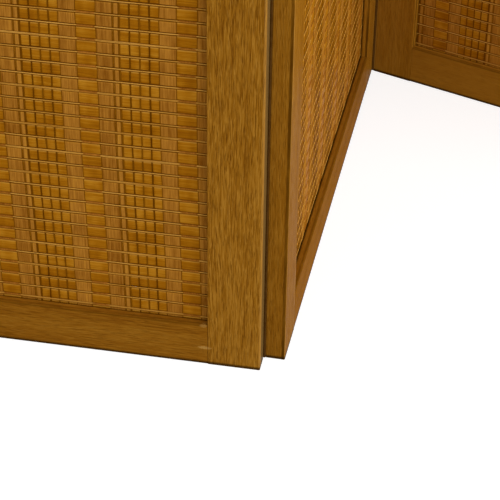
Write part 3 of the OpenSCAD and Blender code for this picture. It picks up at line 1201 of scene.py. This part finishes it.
@dataclass(frozen=True)
class MatFinishes:
    """The finishes of the five kinds of strand in a mat."""

    slats: SlatFinish = SlatFinish(
        deep=srgb(143, 84, 5), middle=srgb(165, 103, 10), pale=srgb(186, 125, 28), rim=srgb(194, 137, 48),
        edge=srgb(100, 54, 0))
    reeds: StrandFinish = StrandFinish(
        "round reed", Run.ACROSS, deep=srgb(170, 113, 30), pale=srgb(218, 161, 72), fineness=1400.0, contrast=0.8,
        flank_shade=0.6, roughness=0.5)
    front_warps: StrandFinish = StrandFinish(
        "dull fibre", Run.UP, deep=srgb(124, 70, 8), pale=srgb(180, 120, 40), fineness=1150.0, cell_contrast=0.24,
        side_shade_band=1.0 * MM, bright=srgb(190, 130, 40))
    back_warps: StrandFinish = StrandFinish(
        "reddish fibre", Run.UP, deep=srgb(114, 62, 6), pale=srgb(178, 114, 38), fineness=1150.0, contrast=0.9,
        cell_contrast=0.3, cell_edge_shade=0.0)
    threads: StrandFinish = StrandFinish(
        "dark thread", Run.UP, deep=srgb(98, 54, 0), pale=srgb(140, 86, 8), fineness=2600.0, contrast=0.8)


@dataclass
class WovenMat:
    """The woven mat of one panel."""

    panel: Panel
    finishes: MatFinishes = MatFinishes()
    sizes: MatSizes = MatSizes()
    slat_face: float = 0.45 * MM
    slat_steps: int = 25
    slat_sides: int = 12
    slat_tilt: float = math.radians(1.2)
    slat_waver: float = 0.35 * MM
    reed_forward: float = -0.35 * MM
    reed_back: float = 0.10 * MM
    reed_steps: int = 81
    reed_waver: float = 0.5 * MM
    thin_reed: float = 0.48 * MM
    thin_apart: float = 0.40 * MM
    thin_share: float = 0.25
    sides: int = 6
    warp_waver: float = 0.9 * MM
    thread_waver: float = 1.3 * MM
    reach: float = 1.2 * MM
    dip: float = 0.5 * MM
    lean: float = 1.3 * MM
    slat_girths: Pair = (0.985, 1.015)
    reed_stray: float = 0.12 * MM
    reed_tones: Pair = (0.35, 0.75)
    thin_tones: Pair = (-0.15, 0.15)
    warp_tones: Pair = (0.41, 0.57)
    thread_tones: Pair = (0.1, 0.6)
    narrow_paler: float = 0.22

    def build(self) -> list[Thing]:
        """Weaves the mat in place of its CAD nodes.

        Returns:
            The five pieces.
        """
        self.rng = np.random.default_rng(self.panel.seed)
        pieces = [self.slats(), self.reeds()]
        pieces += [self.warps("front_warps"), self.warps("back_warps"), self.warps("threads")]
        return pieces

    @property
    def left_edge(self) -> float:
        """Where the mat starts in its left groove."""
        return self.panel.sizes.stile - self.sizes.hold

    @property
    def length(self) -> float:
        """Width of the mat from groove to groove."""
        return self.panel.sizes.width - 2 * self.left_edge

    @property
    def top(self) -> float:
        """Where the mat ends in its upper groove."""
        return self.panel.sizes.height - self.panel.sizes.rail + self.sizes.hold

    def strips(self, start: float, width: float) -> list[Pair]:
        """Finds the strips of one kind that the pattern puts into the mat.

        Args:
            start: Start of the strip in a repeat of the pattern.
            width: Its width.

        Returns:
            The middle and the width of each strip, in panel coordinates.
        """
        panel, found = self.panel.sizes, []
        low, high = self.left_edge, self.left_edge + self.length
        for k in range(-1, math.ceil((panel.width - 2 * panel.stile) / self.sizes.repeat) + 1):
            left = panel.stile + self.panel.mat_start + k * self.sizes.repeat + start
            ends = [min(max(x, low), high) for x in (left, left + width)]
            if ends[1] - ends[0] >= self.sizes.least_strip:
                middle = sum(ends) / 2
                found.append((panel.width - middle if self.panel.mat_mirrored else middle, ends[1] - ends[0]))
        return sorted(found)

    def slats(self) -> Thing:
        """Lays the slats, each with its own tone, height and tilt.

        Returns:
            The piece.
        """
        starts, s = Strands(), self.sizes
        for i in range(s.rows):
            height = min(s.slat_height, self.top - s.first_slat - i * s.pitch)
            middle = s.first_slat + i * s.pitch + height / 2
            starts.add((self.left_edge, 0, middle), tone=self.rng.uniform(0, 1),
                       girth=height / s.slat_height * self.rng.uniform(*self.slat_girths))
        return self.grow("slats", starts, slat_tree(), {
            "Length": self.length, "Height": s.visible_height, "Thickness": s.slat_thickness,
            "Steps": self.slat_steps, "Sides": self.slat_sides, "Tilt": self.slat_tilt, "Waver": self.slat_waver,
        }, self.finishes.slats.material(self.panel, s))

    def reeds(self) -> Thing:
        """Lays the reeds between the slats, one thick one or two thin ones to a row.

        Returns:
            The piece.
        """
        starts, s = Strands(), self.sizes
        for i in range(s.rows - 1):
            middle = s.first_reed + i * s.pitch + self.rng.uniform(-self.reed_stray, self.reed_stray)
            tone = self.rng.uniform(*self.reed_tones)
            if self.rng.uniform() < self.thin_share:
                for shift in (-self.thin_apart, self.thin_apart):
                    starts.add((self.left_edge, 0, middle + shift), girth=self.thin_reed,
                               tone=tone + self.rng.uniform(*self.thin_tones))
            else:
                starts.add((self.left_edge, 0, middle), girth=s.reed_radius, tone=tone)
        columns = self.strips(0.0, s.back_warp)
        return self.grow("reeds", starts, reed_tree(), {
            "Length": self.length, "Steps": self.reed_steps, "Sides": self.sides, "Repeat": s.repeat,
            "Warp Middle": columns[2][0], "Warp Width": s.back_warp, "Forward": self.reed_forward,
            "Back": self.reed_back, "Waver": self.reed_waver,
        }, self.finishes.reeds.material(self.panel, s))

    def warps(self, kind: str) -> Thing:
        """Weaves the upright strands of one kind.

        Args:
            kind: front_warps, back_warps or threads.

        Returns:
            The piece.
        """
        starts, s = Strands(), self.sizes
        columns = {
            "front_warps": [(s.back_warp + s.warp_gap, s.front_warp, 0.0), (s.side_start, s.side_warp, 0.0),
                            (s.narrow_start, s.narrow_warp, self.narrow_paler)],
            "back_warps": [(0.0, s.back_warp, 0.0)],
            "threads": [(s.thread_start + i * s.thread_pitch, s.thread, 0.0) for i in range(s.thread_count)],
        }
        thickness, waver, tones = s.warp_thickness, self.warp_waver, self.warp_tones
        if kind == "threads":
            thickness, waver, tones = s.thread_thickness, self.thread_waver, self.thread_tones
        for start, strip, paler in columns[kind]:
            for middle, width in self.strips(start, strip):
                starts.add((middle, 0, 0), width=width, tone=self.rng.uniform(*tones) + paler)
        over = self.slat_face + thickness / 2
        before_reed = self.reed_back - s.reed_radius - thickness / 2
        behind_reed = self.reed_forward + s.reed_radius + thickness / 2
        behind = kind == "back_warps"
        return self.grow(kind, starts, warp_tree(), {
            "Rows": s.rows - 1, "Pitch": s.pitch, "First Reed": s.first_reed, "Top": self.top,
            "At Slats": over if behind else -over, "At Reeds": before_reed if behind else behind_reed,
            "Reach": self.reach, "Dip": self.dip, "Thickness": thickness, "Sides": self.sides, "Waver": waver,
            "Lean": self.lean,
        }, getattr(self.finishes, kind).material(self.panel, s))

    def grow(self, kind: str, starts: Strands, tree: Tree, sizes: dict[str, float],
             material: Material) -> Thing:
        """Runs a tree on its starts, and puts the plain mesh where the CAD node is.

        Args:
            kind: Which strands they are, the last words of the CAD node's name.
            starts: Where the strands start.
            tree: The Geometry Nodes tree.
            sizes: Its inputs by name.
            material: The finish.

        Returns:
            The piece, which rides on its panel.
        """
        side = self.panel.side.value
        seedling = placed("seedling", starts.mesh())
        modifier = seedling.modifiers.new("weave", "NODES")
        modifier.node_group = tree
        given = sizes | {"Seed": self.panel.seed, "Material": material}
        for item in tree.interface.items_tree:
            if item.item_type == "SOCKET" and item.in_out == "INPUT" and item.name in given:
                modifier[item.identifier] = given[item.name]
        evaluated = seedling.evaluated_get(bpy.context.evaluated_depsgraph_get())
        mesh = bpy.data.meshes.new_from_object(evaluated)
        mesh.name = f"{side}_woven_{kind}"
        mesh.transform(self.panel.place())
        bpy.data.objects.remove(seedling)
        piece = placed(mesh.name, mesh)
        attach(piece, self.panel.body)
        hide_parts(f"{side}_mat_{kind}")
        mesh.calc_loop_triangles()
        LOG.info("%s: %d triangles", piece.name, len(mesh.loop_triangles))
        return piece


# Timber and hinges


@dataclass
class PanelFrame:
    """The timber and the brass of one panel, whose CAD shapes stay."""

    panel: Panel
    stile: TimberFinish = STILE_FINISH
    rail: TimberFinish = RAIL_FINISH
    brass: MetalFinish = MetalFinish()
    steel: MetalFinish = STEEL_FINISH

    def dress(self) -> None:
        """Gives every CAD node on the panel's body its finish."""
        stile, rail, brass, steel = (
            finish.material(self.panel) for finish in (self.stile, self.rail, self.brass, self.steel))
        finishes = {"stile": stile, "rail": rail, "leaf": brass, "screws": brass, "pin": steel}
        for name in frame["record"]["behaviour"]["bodies"][self.panel.body]:
            if "_mat_" in name:
                continue
            material = finishes[name.rsplit("_", 1)[1]]
            mesh = frame["nodes"][name].data
            mesh.materials.clear()
            mesh.materials.append(material)
            LOG.info("%s: %s", name, material.name)


# The dark sleeve is a part put in the joint's gap, where there is only shade, to stand in for that shade
@dataclass
class PinWithShadeSleeve:
    """The right joint's long pin, with a thin dark sleeve that keeps daylight out between its hinges."""

    panel: Panel
    finish: MetalFinish = STEEL_FINISH
    shank: float = 1.2 * MM
    # Radius of the dark sleeve that stands in for the shade in the gap
    sleeve: float = 1.38 * MM
    ease: float = 0.15 * MM
    end: float = 1.0 * MM
    collar: float = 2.4 * MM
    collar_height: float = 1.6 * MM
    hinges: tuple[float, ...] = (400 * MM, 915 * MM, 1430 * MM)
    hinge_length: float = 50 * MM
    clear: float = 0.4 * MM
    sides: int = 20
    collar_steps: int = 6
    crease: float = math.radians(40)

    def sleeved(self, low: float, high: float) -> list[Pair]:
        """Sets out one length of sleeve.

        Args:
            low: Height of its lower end.
            high: Height of its upper end.

        Returns:
            Heights and radii from the lower to the upper end.
        """
        inner = self.sleeve - self.ease
        return [(low, self.shank), (low, inner), (low + self.ease, self.sleeve), (high - self.ease, self.sleeve),
                (high, inner), (high, self.shank)]

    def outline(self) -> list[Pair]:
        """Sets out the pin from its foot to its top.

        Returns:
            Heights and radii.
        """
        half, top = self.hinge_length / 2, self.panel.sizes.height - self.end
        points = [(self.end, self.shank - self.ease), (self.end + self.ease, self.shank)]
        start = self.end + 2 * self.ease
        for hinge in self.hinges:
            points += self.sleeved(start, hinge - half - self.clear)
            start = hinge + half + self.clear
        round_off = self.collar_height / 2
        rim = Vector((start - self.clear + round_off, self.collar - round_off))
        points.append((start - self.clear, self.shank))
        for step in range(self.collar_steps + 1):
            turn = math.pi * step / self.collar_steps
            points.append((rim.x - round_off * math.cos(turn), rim.y + round_off * math.sin(turn)))
        points.append((rim.x + round_off, self.shank))
        points += self.sleeved(rim.x + round_off + self.clear, top - 2 * self.ease)
        return points + [(top - self.ease, self.shank), (top, self.shank - self.ease)]

    def build(self) -> None:
        """Turns the outline around the joint's axis and lets it stand for the CAD pin."""
        sides, x, y = self.sides, self.panel.sizes.pin_x, -self.panel.sizes.pin_y
        turns = [math.tau * k / sides for k in range(sides)]
        corners = [(x + radius * math.cos(turn), y + radius * math.sin(turn), z)
                   for z, radius in self.outline() for turn in turns]
        faces = [tuple(reversed(range(sides))), tuple(range(len(corners) - sides, len(corners)))]
        for ring in range(0, len(corners) - sides, sides):
            for k in range(sides):
                after = (k + 1) % sides
                faces.append((ring + k, ring + after, ring + sides + after, ring + sides + k))
        mesh = bpy.data.meshes.new("right_pin")
        mesh.from_pydata(corners, [], faces)
        mesh.shade_smooth()
        mesh.set_sharp_from_angle(angle=self.crease)
        mesh.materials.append(self.finish.material(self.panel))
        piece = placed("right_pin", mesh)
        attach(piece, self.panel.body)
        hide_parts("right_hinge_pin")
        LOG.info("right_pin: %d faces", len(mesh.polygons))


# The studio


@dataclass(frozen=True)
class Lamp:
    """A soft square lamp: where it hangs, how high it aims, its side and its power in watts."""

    name: str
    place: Triple
    aim: float
    size: float
    power: float

    def hang(self) -> None:
        """Hangs the lamp and turns it towards the middle of the screen."""
        data = bpy.data.lights.new(self.name, "AREA")
        data.shape, data.size, data.energy = "SQUARE", self.size, self.power
        lamp = placed(self.name, data)
        lamp.location = self.place
        lamp.rotation_mode = "QUATERNION"
        lamp.rotation_quaternion = (Vector((0.0, 0.0, self.aim)) - Vector(self.place)).to_track_quat("-Z", "Y")
        LOG.info("lamp %s", self.name)


@dataclass
class Studio:
    """A white floor, an even sky and soft lamps."""

    floor_reach: float = 14.0
    floor_white: float = 0.5
    floor_glow: float = 0.72
    sky: float = 0.75
    lamps: tuple[Lamp, ...] = (
        Lamp("key", (-4.35, -4.95, 3.15), aim=0.6, size=4.4, power=122.0),
        Lamp("side", (-0.8, -3.2, 2.2), aim=0.6, size=2.2, power=60.0),
        Lamp("rim", (1.8, 2.4, 2.6), aim=0.9, size=2.0, power=20.0))

    def build(self) -> None:
        """Builds the floor, the sky and the lamps."""
        self.lay_floor()
        self.light_sky()
        for lamp in self.lamps:
            lamp.hang()

    def lay_floor(self) -> None:
        """Lays a white floor that keeps the shadow of the screen."""
        half = self.floor_reach / 2
        mesh = bpy.data.meshes.new("studio_floor")
        mesh.from_pydata([(-half, -half, 0), (half, -half, 0), (half, half, 0), (-half, half, 0)], [], [(0, 1, 2, 3)])
        floor = placed("studio_floor", mesh)
        material = bpy.data.materials.new("studio floor")
        material.use_nodes = True
        g = Graph(material.node_tree)
        shader = g.tree.nodes["Principled BSDF"]
        seen = self.seen(g)
        for name, value in (("Base Color", (self.floor_white,) * 3 + (1.0,)), ("Roughness", 0.9),
                            ("Specular IOR Level", 0.0), ("Emission Color", WHITE),
                            ("Emission Strength", g.times(seen, self.floor_glow))):
            g.feed(shader.inputs[name], value)
        mesh.materials.append(material)
        LOG.info("studio_floor")

    def seen(self, g: Graph) -> Socket:
        """Adds a switch for what the camera sees, also in a mirror or through glass.

        Args:
            g: The graph that gets the nodes.

        Returns:
            The switch, 1 for those rays and 0 for the others.
        """
        rays = g.add("ShaderNodeLightPath").outputs
        mirrored = g.math("MAXIMUM", rays["Is Glossy Ray"], rays["Is Transmission Ray"])
        return g.math("MAXIMUM", rays["Is Camera Ray"], mirrored)

    def light_sky(self) -> None:
        """Makes a sky that looks white and lights at a plain level."""
        world = bpy.data.worlds.new("studio sky")
        world.use_nodes = True
        g = Graph(world.node_tree)
        background = g.tree.nodes["Background"]
        g.feed(background.inputs["Color"], WHITE)
        strength = g.plus(g.times(self.seen(g), 1.0 - self.sky), self.sky)
        g.feed(background.inputs["Strength"], strength)
        bpy.context.scene.world = world


@dataclass
class PhotoCamera:
    """The photograph's viewing angle, solved from the edges of the frames."""

    place: Triple = (-1.35365, -0.19503, 0.91211)
    yaw: float = -78.778
    pitch: float = 35.597
    roll: float = 0.816
    focal_pixels: float = 1684.97
    image_pixels: float = 500.0
    sensor: float = 36.0
    clip: Pair = (0.05, 50.0)

    def build(self) -> None:
        """Puts up the camera."""
        yaw, pitch, roll = (math.radians(a) for a in (self.yaw, self.pitch, self.roll))
        ahead = Vector((-math.sin(yaw) * math.cos(pitch), math.cos(yaw) * math.cos(pitch), -math.sin(pitch)))
        level = Vector((math.cos(yaw), math.sin(yaw), 0))
        upright = level.cross(ahead)
        right = math.cos(roll) * level + math.sin(roll) * upright
        up = math.cos(roll) * upright - math.sin(roll) * level
        data = bpy.data.cameras.new("photo camera")
        data.sensor_fit, data.sensor_width = "HORIZONTAL", self.sensor
        data.lens = self.focal_pixels / self.image_pixels * self.sensor
        data.clip_start, data.clip_end = self.clip
        camera = placed("photo camera", data)
        camera.matrix_world = Matrix.Translation(self.place) @ Matrix((right, up, -ahead)).transposed().to_4x4()
        bpy.context.scene.camera = camera
        bpy.context.scene.view_settings.view_transform = "Standard"
        LOG.info("camera")


# The panels of the photograph

SCUFFS = (
    Scuff(x=462.5 * MM, z=17.4 * MM, half_width=6.5 * MM, half_height=1.7 * MM, strength=0.85),
    Scuff(x=461.5 * MM, z=40.2 * MM, half_width=3.6 * MM, half_height=1.6 * MM, strength=0.5))
# The middle and right panels' tone offsets are partly painted light for how much light each panel gets
PANELS = (
    Panel(Side.LEFT, 6.5 * MM, False, seed=11, greyed_side=0.9, scuffs=SCUFFS),
    Panel(Side.MIDDLE, 6.5 * MM, False, seed=23, figure=0.6, shade=0.05, rail_shade=0.05, mat_shade=0.11),
    Panel(Side.RIGHT, 73.8 * MM, True, seed=37, figure=0.4, shade=0.13, rail_shade=0.29))


def main() -> None:
    """Builds the camera, the studio, the panels and the mats, in that order."""
    logging.basicConfig(level=logging.INFO, format="%(name)s: %(message)s")
    PhotoCamera().build()
    Studio().build()
    for panel in PANELS:
        PanelFrame(panel).dress()
        WovenMat(panel).build()
    PinWithShadeSleeve(PANELS[1]).build()


if __name__ == "__main__":
    main()
